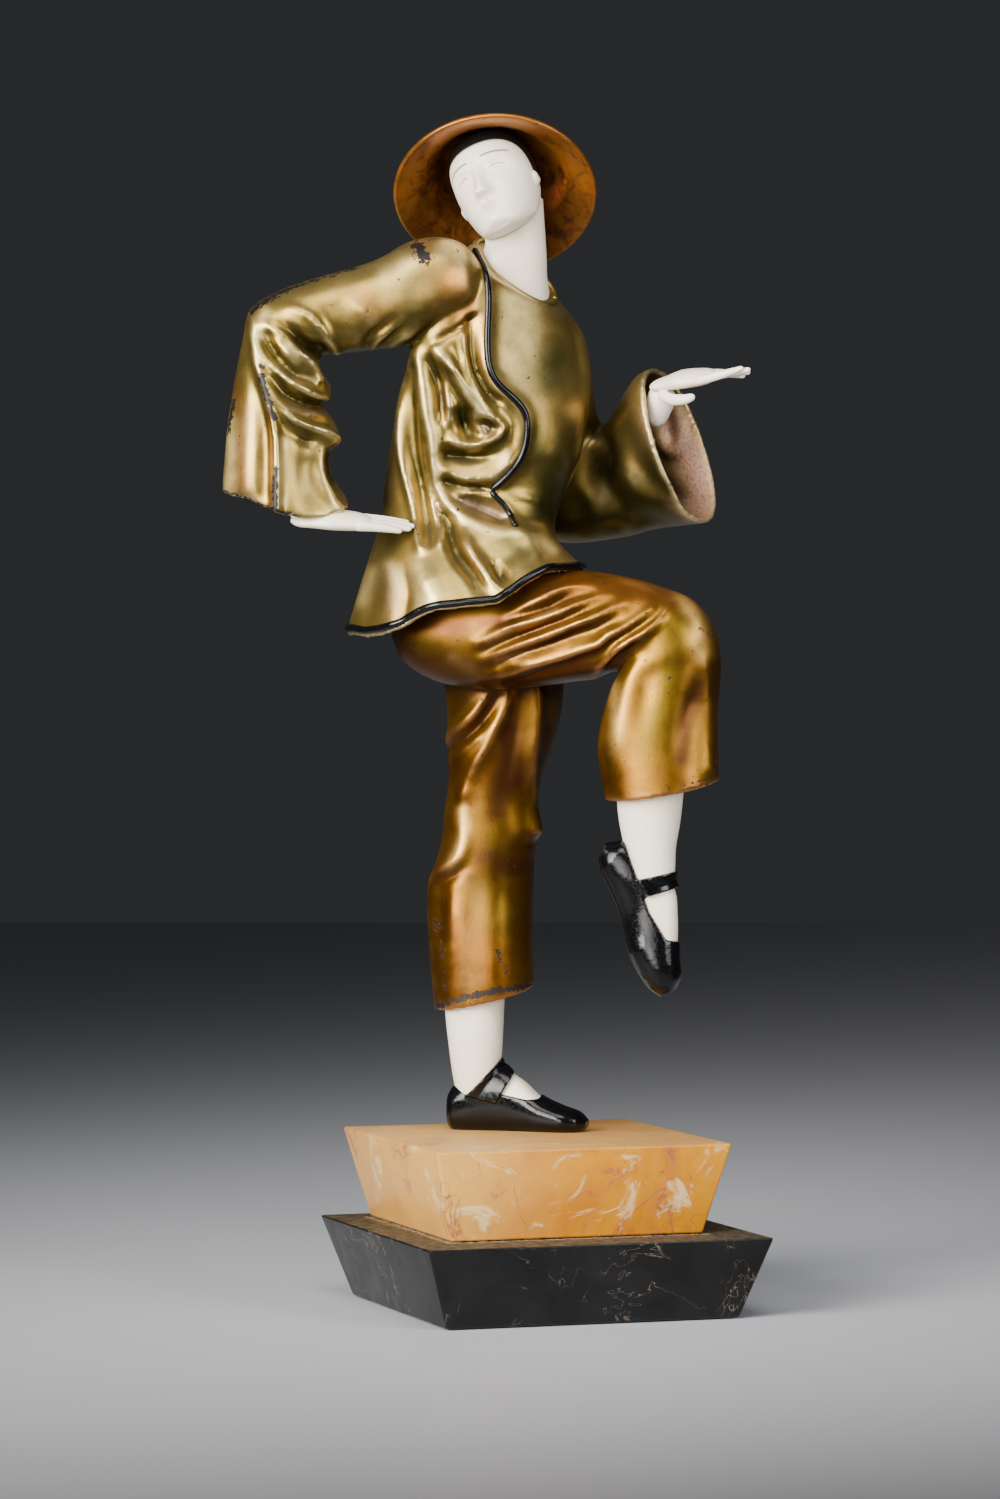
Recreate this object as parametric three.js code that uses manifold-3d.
// A dancer in a loose tunic, wide trousers and a round hat. She stands on her left leg on two stepped
// stone blocks, with her right knee raised, her right hand on her hip and her left hand held out.
// Millimetres, +Z up. The origin is the centre of the lower block's underside, and the blocks' sides
// run along X and Y. The dancer has a frame of her own, turned about Z: in it a larger X is further
// to the right of someone who faces the figure, and a smaller Y is nearer to them.
import * as THREE from "three";
import { mergeVertices } from "three/addons/utils/BufferGeometryUtils.js";
import Module from "manifold-3d";

const wasm = await Module();
wasm.setup();

// Driving sizes
const DANCER_TURN = -18.8;
const LOWER_BLOCK = { top: 108, bottom: 92, high: 24.3 };
const UPPER_BLOCK = { top: 92.8, bottom: 79.2, high: 27.1 };
const UPPER_BLOCK_SHIFT = [-1.7, 3];
const BLOCK_CHAMFER = 0.9;
const FIT_GAP = 0.3;
const CLOTH_WALL = 1.8;
const SHOE_WALL = 0.9;
const STRAP_THICK = 0.8;
const COLLAR_GAP = 0.45;
const HAT = { radius: 30.7, crownRadius: 19.3, crownHigh: 20, brimHigh: 5.2, wall: 1.3 };
const HEAD_HIGH = 37;
const FINGER_LENGTHS = [15, 16.5, 15.5, 12.5];
const FINGER_RADIUS = 1.5;
const NEAR_SIDE_CROWDING = 0.4;
const UP = new THREE.Vector3(0, 0, 1);
const BESIDE_ALL = 120;
const ABOVE_ALL = 400;
const SOLE_LEVEL = LOWER_BLOCK.high + UPPER_BLOCK.high + 2 * FIT_GAP;

const LOOKS = {
  goldBronze: { color: 0x9a8246, roughness: 0.32, metalness: 0.9 },
  amberBronze: { color: 0x8a4a12, roughness: 0.3, metalness: 0.75 },
  ivory: { color: 0xe9e1d3, roughness: 0.35, metalness: 0 },
  blackLacquer: { color: 0x0c0d11, roughness: 0.15, metalness: 0 },
  yellowMarble: { color: 0xd99a4e, roughness: 0.25, metalness: 0 },
  blackMarble: { color: 0x1c1b1c, roughness: 0.3, metalness: 0 },
};

const vector = (p) => new THREE.Vector3(...p);

const smoothstep = (low, high, x) => {
  const t = THREE.MathUtils.clamp((x - low) / (high - low), 0, 1);
  return t * t * (3 - 2 * t);
};

const bell = (x, width) => Math.exp(-((x / width) ** 2));

// A closed mesh from rings of points, with a point in the middle of each end.
function skin(rings) {
  const around = rings[0].length;
  const middle = (ring) => ring.reduce((sum, p) => sum.add(p), new THREE.Vector3()).divideScalar(around);
  const points = [...rings.flat(), middle(rings[0]), middle(rings.at(-1))];
  const lastRing = (rings.length - 1) * around;
  const faces = [];
  for (let j = 0; j < around; j++) {
    const next = (j + 1) % around;
    for (let start = 0; start < lastRing; start += around) {
      faces.push(start + j, start + next, start + around + next);
      faces.push(start + j, start + around + next, start + around + j);
    }
    faces.push(points.length - 2, next, j);
    faces.push(points.length - 1, lastRing + j, lastRing + next);
  }
  return new THREE.BufferGeometry().setFromPoints(points).setIndex(faces);
}

// The solid inside a closed geometry, whichever way its faces are wound.
function solid(geometry) {
  geometry.deleteAttribute("normal");
  geometry.deleteAttribute("uv");
  const merged = mergeVertices(geometry, 1e-4);
  const vertProperties = merged.attributes.position.array;
  const triVerts = new Uint32Array(merged.index.array);
  const made = new wasm.Manifold(new wasm.Mesh({ numProp: 3, vertProperties, triVerts }));
  if (made.volume() > 0) return made;
  for (let i = 0; i < triVerts.length; i += 3) {
    [triVerts[i], triVerts[i + 1]] = [triVerts[i + 1], triVerts[i]];
  }
  return new wasm.Manifold(new wasm.Mesh({ numProp: 3, vertProperties, triVerts }));
}

const union = (...solids) => solids.reduce((all, next) => all.add(next));

function geometryOf(made) {
  const { vertProperties, triVerts } = made.getMesh();
  const geometry = new THREE.BufferGeometry();
  geometry.setAttribute("position", new THREE.BufferAttribute(vertProperties, 3));
  geometry.setIndex(new THREE.BufferAttribute(triVerts, 1));
  const faceted = geometry.toNonIndexed();
  faceted.computeVertexNormals();
  return faceted;
}

// How far the folds lift or sink the surface at a point. A fold is [path, heights, width]: its path
// as [x, z] seen from the front, and its height at the start, the middle and the end of the path.
function foldHeight(folds, point) {
  let lift = 0;
  for (const [path, heights, width] of folds) {
    let nearest = { distance: Infinity };
    for (let i = 0; i + 1 < path.length; i++) {
      const [dx, dz] = [path[i + 1][0] - path[i][0], path[i + 1][1] - path[i][1]];
      const [px, pz] = [point.x - path[i][0], point.z - path[i][1]];
      const t = THREE.MathUtils.clamp((px * dx + pz * dz) / (dx * dx + dz * dz), 0, 1);
      const distance = Math.hypot(px - t * dx, pz - t * dz);
      if (distance < nearest.distance) nearest = { distance, along: (i + t) / (path.length - 1) };
    }
    const s = nearest.along;
    const [start, middle, end] = heights;
    const height = start * (1 - s) * (1 - 2 * s) + middle * 4 * s * (1 - s) + end * s * (2 * s - 1);
    lift += height * bell(nearest.distance, width);
  }
  return lift;
}

// A body lofted through stations [P, Q, B]. P and Q are the left and right edges of a ring as seen
// from the front, and B reaches from the ring's middle to its nearest point. Rings are squarer than
// an ellipse, their points lie closer on the near side, and the folds press into that side.
function loft(stations, { rows, around, square = 2.25, folds = [], grow = 0 }) {
  const rails = [0, 1, 2].map(
    (k) => new THREE.CatmullRomCurve3(stations.map((s) => vector(s[k])), false, "centripetal"),
  );
  const power = (x) => Math.sign(x) * Math.abs(x) ** (2 / square);
  const rings = [];
  const centres = [];
  for (let i = 0; i <= rows; i++) {
    const [p, q, b] = rails.map((rail) => rail.getPoint(i / rows));
    const centre = p.clone().add(q).multiplyScalar(0.5);
    const half = q.clone().sub(centre);
    centres.push(centre);
    rings.push(
      Array.from({ length: around }, (_, j) => {
        const turn = (2 * Math.PI * j) / around;
        const angle = turn + NEAR_SIDE_CROWDING * Math.cos(turn);
        return centre
          .clone()
          .addScaledVector(half, power(Math.cos(angle)))
          .addScaledVector(b, power(Math.sin(angle)));
      }),
    );
  }
  const moved = rings.map((ring, i) => {
    const inner = THREE.MathUtils.clamp(i, 1, rows - 1);
    const endPush = centres[i].clone().sub(centres[inner]).normalize().multiplyScalar(grow);
    return ring.map((p, j) => {
      const along = rings[Math.min(i + 1, rows)][j].clone().sub(rings[Math.max(i - 1, 0)][j]);
      const across = ring[(j + 1) % around].clone().sub(ring[(j + around - 1) % around]);
      const normal = across.cross(along).normalize();
      if (normal.dot(p.clone().sub(centres[i])) < 0) normal.negate();
      const near = smoothstep(-0.2, 0.4, -normal.y);
      return p.clone().addScaledVector(normal, grow + near * foldHeight(folds, p)).add(endPush);
    });
  });
  return solid(skin(moved));
}

// The inside of a loft's open end: its last `count` stations drawn in by a wall and run out past it.
function mouth(stations, count, wall, folds = []) {
  const inside = stations.slice(-count).map(([p, q, b]) => {
    const pull = vector(q).sub(vector(p)).setLength(wall);
    const thin = vector(b);
    return [vector(p).add(pull), vector(q).sub(pull), thin.setLength(thin.length() - wall)];
  });
  const [before, last] = inside.slice(-2);
  const beyond = [0, 1].map((k) => last[k].clone().multiplyScalar(2).sub(before[k]));
  const open = [...inside, [...beyond, last[2]]].map((station) => station.map((p) => p.toArray()));
  return loft(open, { rows: 2 * count + 1, around: 14, folds });
}

// A limb or a finger through points, with a radius at each. `flat` thins it along `up`.
function limb(points, radii, { rows = 4, around = 8, up = [0, 0, 1], flat = 1, tip = 0.6, grow = 0 }) {
  const line = new THREE.CatmullRomCurve3(points.map(vector));
  const widths = new THREE.CatmullRomCurve3(radii.map((radius, i) => new THREE.Vector3(i, radius, 0)));
  const rings = Array.from({ length: rows + 1 }, (_, i) => {
    const tangent = line.getTangent(i / rows);
    const side = tangent.clone().cross(vector(up)).normalize();
    const rise = side.clone().cross(tangent);
    const isEnd = i === 0 || i === rows;
    const radius = widths.getPoint(i / rows).y * (isEnd ? tip : 1) + grow;
    const endPush = isEnd ? grow * Math.sign(i - 0.5) : 0;
    const centre = line.getPoint(i / rows).addScaledVector(tangent, endPush);
    return Array.from({ length: around }, (_, j) => {
      const angle = (2 * Math.PI * j) / around;
      return centre
        .clone()
        .addScaledVector(side, radius * Math.cos(angle))
        .addScaledVector(rise, radius * flat * Math.sin(angle));
    });
  });
  return solid(skin(rings));
}

// A prism across the figure, with the given outline in X and Z, from `near` to `far` in Y.
function prism(outline, near, far) {
  const shape = new THREE.Shape(outline.map(([x, z]) => new THREE.Vector2(x, z)));
  const geometry = new THREE.ExtrudeGeometry(shape, { depth: far - near, bevelEnabled: false, steps: 1 });
  geometry.rotateX(Math.PI / 2).translate(0, far, 0);
  return solid(geometry);
}

function mesh(name, made, look) {
  const result = new THREE.Mesh(geometryOf(made), new THREE.MeshStandardMaterial(LOOKS[look]));
  result.name = name;
  return result;
}

// A stone block, wider at its top, with small chamfers on its edges.
function block({ top, bottom, high }, level) {
  const ring = (half, z) => {
    const inner = half - BLOCK_CHAMFER;
    const corner = [[half, inner], [inner, half]];
    return [0, 1, 2, 3].flatMap((quarter) =>
      corner.map(([x, y]) =>
        new THREE.Vector3(x, y, level + z).applyAxisAngle(UP, (quarter * Math.PI) / 2),
      ),
    );
  };
  return solid(
    skin([
      ring(bottom / 2 - BLOCK_CHAMFER, 0),
      ring(bottom / 2, BLOCK_CHAMFER),
      ring(top / 2, high - BLOCK_CHAMFER),
      ring(top / 2 - BLOCK_CHAMFER, high),
    ]),
  );
}

// Tunic and trousers: stations of the loose cloth, from the neck down and from the body outwards
const TORSO = [
  [[-20.5, 1, 321], [3.5, 10, 305], [-1, -8, -5]],
  [[-25, -6, 318], [8, 16, 301], [0, -13, -3]],
  [[-33, -10, 306], [12.5, 22, 294.5], [0, -16, -1]],
  [[-38, -9, 293], [14.2, 22, 285], [0, -19, 0]],
  [[-43, -3, 275], [13.8, 14, 271], [1.5, -21, 0]],
  [[-46.5, 2, 258], [11.5, 9, 258], [1, -20, 0]],
  [[-48.3, 5, 246], [6.8, 8, 246], [0, -19, 0]],
  [[-49, 6, 238], [3.8, 7, 238], [0, -21, 0]],
  [[-52, 8, 229], [4.2, 5, 232.5], [0, -28, 0]],
  [[-55.5, 9, 218], [8.2, 3, 227.5], [0, -32, -1]],
  [[-59.5, 9, 203.5], [12.8, 0, 223], [0, -35, -2.5]],
];
const NEAR_SLEEVE = [
  [[-19, -8, 315], [-18, -8, 306], [0, -6, 0]],
  [[-24, -9, 320.5], [-22, -9, 299.5], [0, -11, 0]],
  [[-31, -10, 322.5], [-31, -10, 295], [0, -13, 0]],
  [[-40, -12, 321], [-39, -12, 290.5], [0, -13, 0]],
  [[-50, -13, 315.5], [-49, -13, 288.5], [0, -12.5, 0]],
  [[-70, -15, 309.3], [-64, -15, 287], [0, -11.5, 0]],
  [[-80, -16, 305.5], [-66, -16, 286.5], [0, -11.5, 0]],
  [[-87.5, -16, 300.5], [-67, -16, 284], [0, -11.5, 0]],
  [[-90, -16, 291], [-66, -16, 280], [0, -12, -1]],
  [[-92, -16, 281], [-64.5, -15, 274.5], [0, -12.5, -1]],
  [[-96, -15, 258], [-63.5, -14, 254.5], [0, -14, -3]],
  [[-97, -14, 247], [-58.5, -13, 243], [0, -15, -5]],
];
const FAR_SLEEVE = [
  [[0, 22, 302], [8, 24, 301], [0, -5, 0]],
  [[-5, 24, 290], [13.8, 28, 290], [0, -9, 0]],
  [[-8, 30, 266], [17, 33, 271], [0, -11, 0]],
  [[-9, 35, 250], [19, 36, 268], [0, -12, 0]],
  [[-5, 38, 238], [20, 36, 269], [0, -12, 0]],
  [[5, 38, 232], [21.5, 35, 271.5], [0, -12, 0]],
  [[25, 33, 233.3], [27, 31, 279.5], [-3, -13, 0]],
  [[34, 30, 235.5], [30, 28, 283], [-5, -13.5, 0]],
  [[49.5, 23, 237.5], [34.5, 24, 285], [-8.5, -14, 0]],
];
const RAISED_TROUSER = [
  [[-46, 4, 203], [-43, 4, 213], [0, -6, 0]],
  [[-42.5, 3, 195.5], [-39, 3, 219], [0, -14, 0]],
  [[-33, 0, 189.5], [-30, 0, 221], [0, -16, 0]],
  [[-20, -2, 187], [-17, -2, 224], [0, -18, 0]],
  [[-5, -7, 187.3], [-3, -7, 224], [0, -19, 0]],
  [[8, -10, 189], [11, -11, 222.8], [0, -18, 0]],
  [[18, -14, 190.5], [24, -14, 220.8], [0, -16.5, 0]],
  [[23.5, -16, 193.5], [35, -16, 217.8], [0, -15.5, 0]],
  [[24, -17, 194], [45, -17, 213.3], [0, -15, 0]],
  [[22.5, -18, 191.5], [51, -18, 205.5], [0, -14.5, 0]],
  [[20, -18, 186.5], [53, -18, 196], [0, -14, 0]],
  [[16.3, -18, 171], [52, -18, 177], [0, -14, 0]],
  [[18.3, -18, 154.3], [52.8, -18, 160.3], [0, -15, -2]],
];
const STANDING_TROUSER = [
  [[-38, 10, 222], [0, 12, 222], [0, -13, 0]],
  [[-35, 14, 208], [7, 15, 208], [0, -16, 0]],
  [[-31, 18, 190], [6.5, 18, 190], [0, -15.5, 0]],
  [[-30, 19, 178], [4.5, 19, 178], [0, -15, 0]],
  [[-29.2, 20, 161], [-1, 20, 159], [0, -14, 0]],
  [[-30.5, 21, 147], [-1.5, 21, 149], [0, -13.5, 0]],
  [[-35.5, 22, 124], [-2.8, 22, 127], [0, -13.5, 0]],
  [[-35.2, 22, 110], [-3.3, 22, 113], [0, -14, 0]],
  [[-33.2, 23, 89], [-2.8, 23, 96], [0, -15, -1.5]],
];

// The larger folds: lines of [x, z], heights along them, and how far they spread
const TUNIC_FOLDS = [
  [[[-38, 286], [-40, 265], [-36, 238]], [-1, -3.2, -1.5], 3.2],
  [[[-33, 288], [-32, 262], [-30, 240]], [1.2, 2.6, 1.5], 3],
  [[[-31, 291], [-23, 277], [-14, 269]], [0.8, 2.6, 2.4], 3.4],
  [[[-27, 274], [-23, 264]], [-1, -2.6, -1], 3.4],
  [[[-13, 268], [-15, 261], [-25, 260]], [2.4, 2.4, 0.5], 3],
  [[[-31, 252], [-16, 251]], [-1.5, -3, -1], 3.6],
  [[[-29, 238], [-24, 226], [-15, 214]], [-1.5, -2.2, -1.4], 3.6],
  [[[-22, 236], [-9, 219]], [1, 2.2, 2], 3.4],
  [[[-42, 232], [-44, 206]], [-1, -2, -1.8], 4],
];
const NEAR_SLEEVE_FOLDS = [
  [[[-84, 298], [-75, 289], [-66, 284]], [-1, -3, -2.2], 3.4],
  [[[-83, 289], [-75, 279], [-64, 275]], [1, 2.2, 2.2], 3],
  [[[-80, 276], [-73, 270], [-66, 270]], [-1.2, -2.6, -2.6], 3],
  [[[-82, 274], [-75, 264], [-63, 260]], [1, 2, 2], 3],
  [[[-87, 298], [-82, 268], [-81, 240]], [1, 2.5, 1.8], 3.4],
  [[[-91, 280], [-90, 246]], [0, -1.6, -1.2], 3.6],
  [[[-71, 262], [-71, 242]], [0, -2, -1.6], 4],
  [[[-54, 290], [-40, 302]], [-2, -1, 0], 3.2],
];
const RAISED_FOLDS = [
  [[[-20, 203], [-4, 210], [16, 217]], [-0.5, -2, -0.5], 2.8],
  [[[-19, 196], [2, 203], [28, 212]], [-0.5, -2.2, -0.7], 2.8],
  [[[18, 189], [24, 197], [30, 203]], [-2.5, -2.5, -0.5], 3],
  [[[45, 188], [41, 172], [38, 156]], [-0.3, -1.6, -1], 5],
];
const STANDING_FOLDS = [
  [[[-16, 187], [-22, 178], [-31, 171]], [1, 2, 2], 2.8],
  [[[-12, 186], [-19, 174], [-29, 165]], [-1, -2.4, -1.5], 2.8],
  [[[-9, 184], [-18, 170], [-27, 148]], [1, 2.2, 1], 3],
  [[[-37, 130], [-29, 134], [-23, 141]], [1.8, 1.8, 0.4], 2.8],
];

const raisedTrouser = (options) => loft(RAISED_TROUSER, { rows: 19, around: 17, ...options });
const standingTrouser = (options) => loft(STANDING_TROUSER, { rows: 13, around: 14, ...options });

function trouserPair() {
  return union(raisedTrouser({ folds: RAISED_FOLDS }), standingTrouser({ folds: STANDING_FOLDS }))
    .subtract(mouth(RAISED_TROUSER, 2, CLOTH_WALL, RAISED_FOLDS))
    .subtract(mouth(STANDING_TROUSER, 2, CLOTH_WALL, STANDING_FOLDS));
}

function tunicCloth() {
  return union(
    loft(TORSO, { rows: 23, around: 27, folds: TUNIC_FOLDS }),
    loft(NEAR_SLEEVE, { rows: 20, around: 14, folds: NEAR_SLEEVE_FOLDS }),
    loft(FAR_SLEEVE, { rows: 10, around: 14 }),
  )
    .subtract(mouth(TORSO, 2, CLOTH_WALL, TUNIC_FOLDS))
    .subtract(mouth(NEAR_SLEEVE, 3, CLOTH_WALL, NEAR_SLEEVE_FOLDS))
    .subtract(mouth(FAR_SLEEVE, 3, CLOTH_WALL));
}

// Legs, feet and shoes: each foot is lofted from the heel to the toe, with P along the sole
const RAISED_FOOT = [
  [[16.4, -18, 136.3], [18.8, -18, 141.2], [0, -3.2, 0]],
  [[17.2, -18, 132.5], [25.5, -18, 141.5], [0, -5.6, 0]],
  [[19.8, -18, 126.8], [33, -18, 135.5], [0, -6.4, 0]],
  [[22.8, -18, 119.5], [39.8, -18, 128], [0, -6.3, 0]],
  [[24.2, -18, 113], [41, -18, 119], [0, -6.6, 0]],
  [[25.4, -18, 108], [41, -18, 111], [0, -7.3, 0]],
  [[28, -18, 102.5], [41, -18, 105.5], [0, -7.5, 0]],
  [[31.5, -18, 97.5], [41.3, -18, 101], [0, -6.6, 0]],
  [[35, -18, 95], [39.6, -18, 97.3], [0, -3.4, 0]],
];
const STANDING_FOOT = [
  [[-28.7, 24, 52.6], [-28.7, 24, 62.5], [-0.8, -3.2, 0]],
  [[-26.8, 23.6, 51.2], [-26.8, 23.6, 65.3], [-1.4, -5.6, 0]],
  [[-21, 22.1, 50.8], [-21, 22.1, 69], [-1.6, -6.3, 0]],
  [[-13, 20, 50.8], [-13, 20, 71.5], [-1.6, -6.2, 0]],
  [[-7, 18.4, 50.8], [-6, 18.2, 68], [-1.7, -6.6, 0]],
  [[-1, 16.9, 50.8], [0, 16.6, 62.6], [-1.8, -7.2, 0]],
  [[6, 15.1, 50.8], [6, 15.1, 59.7], [-1.8, -7.4, 0]],
  [[11, 13.8, 51.2], [11, 13.8, 57.9], [-1.5, -5.8, 0]],
  [[13.6, 13.1, 53], [13.6, 13.1, 55.6], [-0.7, -2.8, 0]],
];
const RAISED_SHIN = {
  points: [[32, -18, 169.5], [31.8, -18, 155], [32, -18, 140], [32.8, -18, 132.5], [33, -18, 124]],
  radii: [10.6, 10, 7.9, 6.6, 5.6],
};
const STANDING_SHIN = {
  points: [[-21, 21, 107], [-20.8, 21, 90], [-20.4, 21, 76], [-20, 21.5, 66], [-19.5, 21.7, 57]],
  radii: [10, 9.2, 8.1, 7, 5.2],
};

// What each shoe leaves open over the instep, and the band of its strap, as outlines in [x, z]
const RAISED_OPEN = [
  [23.5, 160], [23.8, 142.4], [28.5, 129], [31.5, 120.5], [36.5, 112.3], [46, 110.6], [52, 160],
];
const RAISED_STRAP = [[28, 130.2], [30.6, 125], [43, 128.6], [42, 133.2]];
const STANDING_OPEN = [
  [-26.5, 90], [-26.2, 65.3], [-20, 64], [-12, 63], [-5, 61.6], [-1.5, 61.8], [3, 64], [6, 90],
];
const STANDING_STRAP = [[-23.5, 62.5], [-14.5, 60.5], [-8.6, 69.6], [-12.4, 74]];

// The bare foot and shin, and the shoe around them, which has its sole cut flat at height `floor`. The
// outlines are cut from `near` to `far` in Y.
function legAndShoe(stations, shin, openOutline, strapOutline, [near, far], floor) {
  const foot = (grow) => loft(stations, { rows: 8, around: 10, square: 2.4, grow });
  const leg = (grow) =>
    limb(shin.points, shin.radii, { rows: 4, around: 10, up: [0, 1, 0], tip: 0.9, grow });
  const over = (level) =>
    prism(
      [[-BESIDE_ALL, level], [BESIDE_ALL, level], [BESIDE_ALL, ABOVE_ALL], [-BESIDE_ALL, ABOVE_ALL]],
      near,
      far,
    );
  const bare = union(leg(0), foot(-SHOE_WALL - FIT_GAP)).intersect(over(floor + SHOE_WALL + FIT_GAP));
  const room = union(leg(FIT_GAP), foot(-SHOE_WALL)).intersect(over(floor + SHOE_WALL));
  const strap = union(foot(STRAP_THICK), leg(STRAP_THICK)).intersect(prism(strapOutline, near, far));
  const upper = foot(0).subtract(prism(openOutline, near, far));
  return { bare, shoe: union(upper, strap).intersect(over(floor)).subtract(room) };
}

const raised = legAndShoe(RAISED_FOOT, RAISED_SHIN, RAISED_OPEN, RAISED_STRAP, [-40, 4], 0);
const standing = legAndShoe(
  STANDING_FOOT, STANDING_SHIN, STANDING_OPEN, STANDING_STRAP, [0, 44], SOLE_LEVEL,
);

// Where a part lies: turned by its three columns, the directions of its own X, Y and Z.
function placement(origin, x, z) {
  const [ex, ez] = [vector(x).normalize(), vector(z)];
  const ey = ez.cross(ex).normalize();
  return new THREE.Matrix4().makeBasis(ex, ey, ex.clone().cross(ey)).setPosition(...origin);
}

// A hand with its wrist at the origin, its fingers along +X, the thumb on the +Y side and the back
// of the hand up. `curls` bends each finger down, in degrees at each joint.
function hand(curls, thumb) {
  const palm = limb(
    [[-3, 0, 0], [3, 0, 0.3], [9, 0, 0.6], [18.5, 0, 0]],
    [3.7, 4.6, 6.4, 6],
    { rows: 4, around: 8, flat: 0.5, tip: 0.9 },
  );
  const fingers = FINGER_LENGTHS.map((length, i) => {
    const start = new THREE.Vector3(15.5, 4.3 - 2.9 * i, 0);
    const points = [start.toArray()];
    for (let joint = 1; joint <= 3; joint++) {
      const bend = THREE.MathUtils.degToRad(curls[i] * joint);
      const step = new THREE.Vector3(Math.cos(bend), 0.05 - 0.045 * i, -Math.sin(bend));
      points.push(start.add(step.multiplyScalar((length + 2.5) / 3)).toArray());
    }
    const radii = [1.1, 1.05, 0.95, 0.7].map((share) => share * FINGER_RADIUS);
    return limb(points, radii, { rows: 3, around: 6 });
  });
  return union(palm, ...fingers, limb(thumb, [1.9, 1.9, 1.7, 1.1], { rows: 3, around: 6 }));
}

// The near hand rests on the hip and the far one reaches out of its sleeve
const THUMB_ALONG = [[2, 3.5, -0.6], [7, 6.2, -1.2], [11.5, 7, -1.4], [15.5, 6.6, -1.6]];
const THUMB_BELOW = [[1, 3, -2], [6, 4.6, -4.4], [10.5, 5, -5], [14.5, 5, -4.6]];
const HIP_HAND_AT = placement([-72.5, -21, 237.2], [33, 4.4, -0.4], [0.1, -0.3, 1]);
const HELD_OUT_HAND_AT = placement([35.3, 14.5, 279.2], [23, -14, 3.6], [-0.16, -0.3, 1]);
const HELD_OUT_HAND_SIZE = 0.94;
const handOnHip = union(
  hand([1, 2, 3, 4], THUMB_ALONG).transform(HIP_HAND_AT.elements),
  limb([[-79, -15, 257], [-77, -17, 248], [-72.5, -20.4, 238]], [4.2, 3.6, 2.4], {}),
);
const handHeldOut = union(
  hand([-2, 0, 2, 5], THUMB_BELOW)
    .scale([HELD_OUT_HAND_SIZE, -HELD_OUT_HAND_SIZE, HELD_OUT_HAND_SIZE])
    .transform(HELD_OUT_HAND_AT.elements),
  limb([[33, 22.5, 268], [35.5, 18.5, 274], [37, 14.5, 279]], [3.8, 3.8, 3], { up: [0, 1, 0] }),
);

// The head's half-width, and how far its front and back lie from its middle line, from crown to chin,
// all as shares of its height. The eyes lie halfway up, and brow, nose and chin share the face evenly.
const HEAD_LEVELS = [
  [0.5, 0.03, 0.03, 0.04],
  [0.475, 0.15, 0.15, 0.2],
  [0.38, 0.27, 0.28, 0.34],
  [0.22, 0.335, 0.36, 0.41],
  [0.05, 0.343, 0.375, 0.42],
  [-0.1, 0.33, 0.36, 0.37],
  [-0.23, 0.3, 0.36, 0.27],
  [-0.36, 0.25, 0.355, 0.1],
  [-0.46, 0.17, 0.33, -0.06],
  [-0.5, 0.05, 0.24, -0.16],
];

// Soft features on the front of the head, at height z and a distance x from the middle line, in shares
// of the head's height: a straight nose, shallow eye hollows, closed lips and a round chin.
function features(x, z) {
  const nose = 0.1 * bell(x, 0.05) * smoothstep(0.06, -0.2, z) * smoothstep(-0.26, -0.215, z);
  const wings = 0.03 * bell(Math.abs(x) - 0.045, 0.03) * bell(z + 0.21, 0.035);
  const eyes = -0.035 * bell(Math.abs(x) - 0.155, 0.08) * bell(z + 0.01, 0.06);
  const lips = 0.035 * bell(x, 0.08) * (bell(z + 0.305, 0.025) + bell(z + 0.355, 0.03));
  const chin = 0.03 * bell(x, 0.09) * bell(z + 0.45, 0.06);
  return nose + wings + eyes + lips + chin;
}

function headShape(grow) {
  const [rows, around] = [18, 22];
  const rails = new THREE.CatmullRomCurve3(HEAD_LEVELS.map(([z, w, f]) => new THREE.Vector3(w, f, z)));
  const backs = new THREE.CatmullRomCurve3(HEAD_LEVELS.map(([z, , , b]) => new THREE.Vector3(0, b, z)));
  const rings = Array.from({ length: rows + 1 }, (_, i) => {
    const { x: wide, y: front, z } = rails.getPoint(i / rows);
    const back = backs.getPoint(i / rows).y;
    const middle = Math.min(0, back - 0.1);
    return Array.from({ length: around }, (_, j) => {
      const turn = (2 * Math.PI * j) / around;
      const angle = turn - NEAR_SIDE_CROWDING * Math.cos(turn);
      const [c, s] = [Math.cos(angle), Math.sin(angle)];
      const x = wide * c;
      const reach = s < 0 ? front + middle + features(x, z) * smoothstep(0.1, 0.6, -s) : back - middle;
      return new THREE.Vector3(x, middle + reach * s, z)
        .multiplyScalar(HEAD_HIGH)
        .add(new THREE.Vector3(grow * c, grow * s, 2 * grow * z));
    });
  });
  return solid(skin(rings));
}

// The head leans and turns to the viewer's left with its chin raised. The neck and the top of the
// chest fill the collar.
const HEAD_AT = new THREE.Matrix4()
  .makeRotationFromEuler(new THREE.Euler(...[-26, -27, -18].map(THREE.MathUtils.degToRad), "YZX"))
  .setPosition(-13.8, 0.4, 338.2);
const NECK = [
  [[-18.6, 2, 315.5], [1.6, 9.5, 303], [-1, -6.2, -4]],
  [[-18.6, 2, 318.5], [1.9, 9.5, 306], [-1, -7.5, -4]],
  [[-17.6, 3, 321], [1.3, 7, 312], [0, -8, -2]],
  [[-17.6, 3, 325], [1.1, 5, 318], [0, -8.6, -1]],
  [[-18.5, 3, 337], [0, 4, 335], [0, -8.4, 0]],
];
const HAT_AT = placement([-14.5, 2.4, 336.2], [1, 0, 0], [0, 0.715, 0.699]);

function headAndNeck(grow) {
  return union(loft(NECK, { rows: 6, around: 14, grow }), headShape(grow).transform(HEAD_AT.elements));
}

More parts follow.
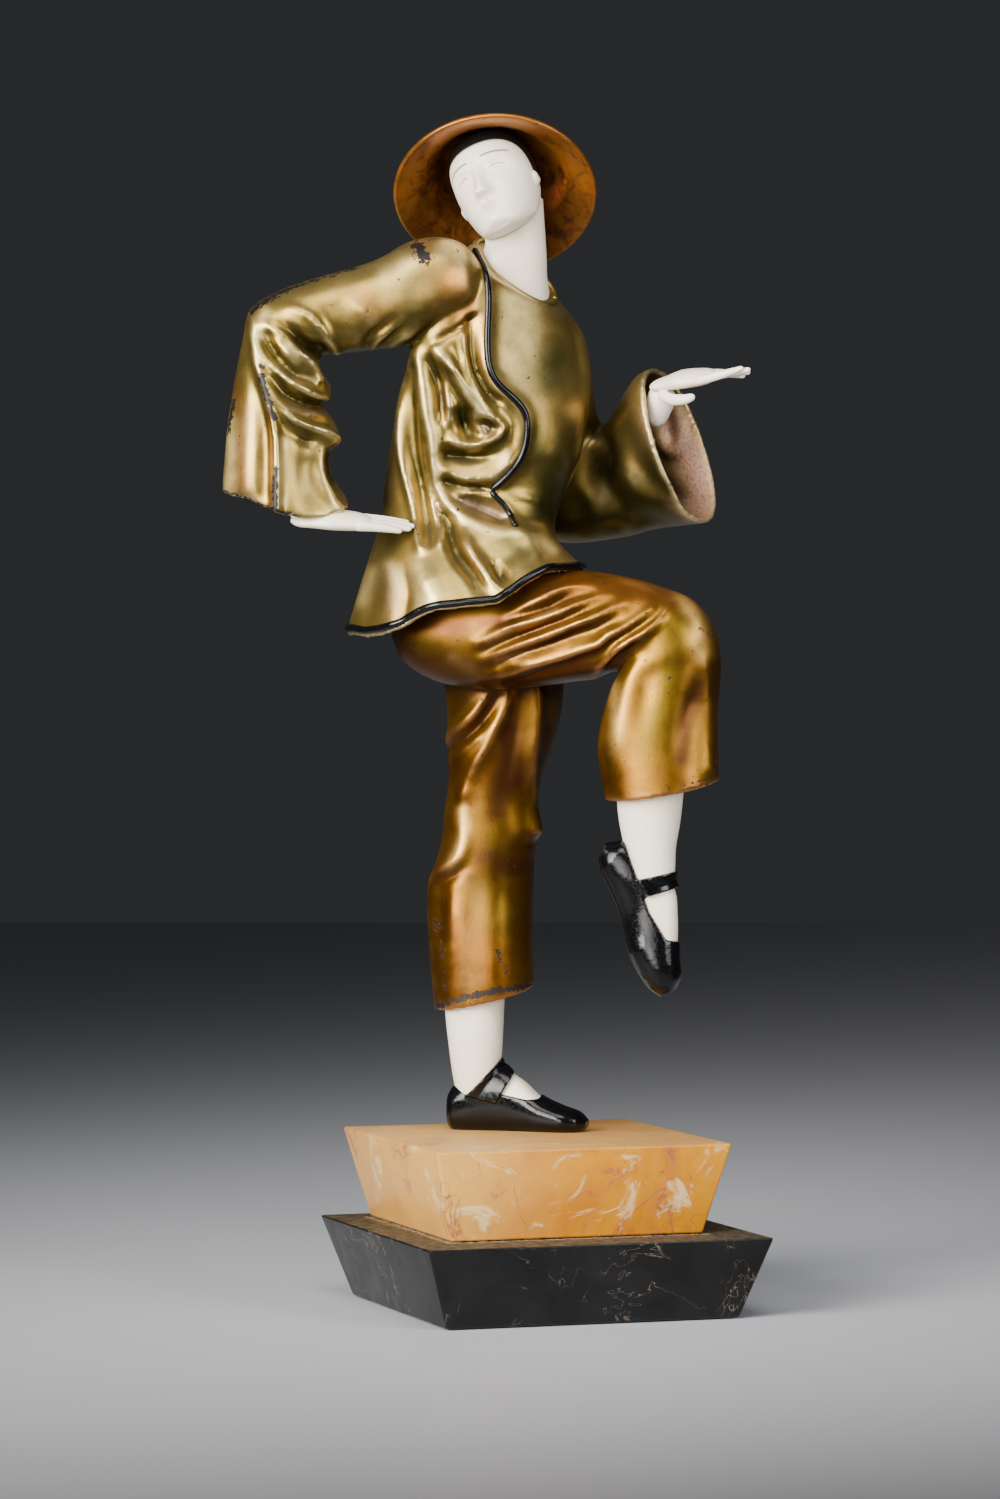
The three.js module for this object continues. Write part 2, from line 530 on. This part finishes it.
// A wide shallow hat: the brim rises from its rim and runs into a round crown.
function hatShell() {
  const { radius, crownRadius, crownHigh, brimHigh, wall } = HAT;
  const outside = [
    [0, crownHigh + wall],
    [0.72 * crownRadius, 0.88 * crownHigh + wall],
    [1.03 * crownRadius, 0.53 * crownHigh + wall],
    [crownRadius + 3, brimHigh + wall],
    [radius - 1, 1.4 * wall],
    [radius, 0.6 * wall],
  ];
  const inside = [
    [radius - 0.8, 0],
    [crownRadius + 2.4, brimHigh],
    [0.98 * crownRadius, 0.53 * crownHigh],
    [0.7 * crownRadius, 0.88 * crownHigh],
    [0, crownHigh],
  ];
  const profile = [...outside, ...inside].map(([r, h]) => new THREE.Vector2(r, h));
  return solid(new THREE.LatheGeometry(profile, 28).rotateX(Math.PI / 2));
}

const dancer = new THREE.Group();
dancer.rotation.z = THREE.MathUtils.degToRad(DANCER_TURN);
const trousers = trouserPair();
const trouserRoom = union(raisedTrouser({ grow: FIT_GAP }), standingTrouser({ grow: FIT_GAP }));
const tunic = tunicCloth().subtract(trouserRoom).subtract(headAndNeck(COLLAR_GAP));
dancer.add(mesh("tunic", tunic, "goldBronze"));
dancer.add(mesh("trousers", trousers, "amberBronze"));
dancer.add(mesh("head", headAndNeck(0), "ivory"));
dancer.add(mesh("hat", hatShell().transform(HAT_AT.elements), "amberBronze"));
dancer.add(mesh("hand_right", handOnHip, "ivory"));
dancer.add(mesh("hand_left", handHeldOut, "ivory"));
dancer.add(mesh("leg_right", raised.bare, "ivory"));
dancer.add(mesh("leg_left", standing.bare, "ivory"));
dancer.add(mesh("shoe_right", raised.shoe, "blackLacquer"));
dancer.add(mesh("shoe_left", standing.shoe, "blackLacquer"));

const part = new THREE.Group();
part.add(mesh("lower_block", block(LOWER_BLOCK, 0), "blackMarble"));
const upper = block(UPPER_BLOCK, LOWER_BLOCK.high + FIT_GAP).translate([...UPPER_BLOCK_SHIFT, 0]);
part.add(mesh("upper_block", upper, "yellowMarble"));
part.add(dancer);
export default part;
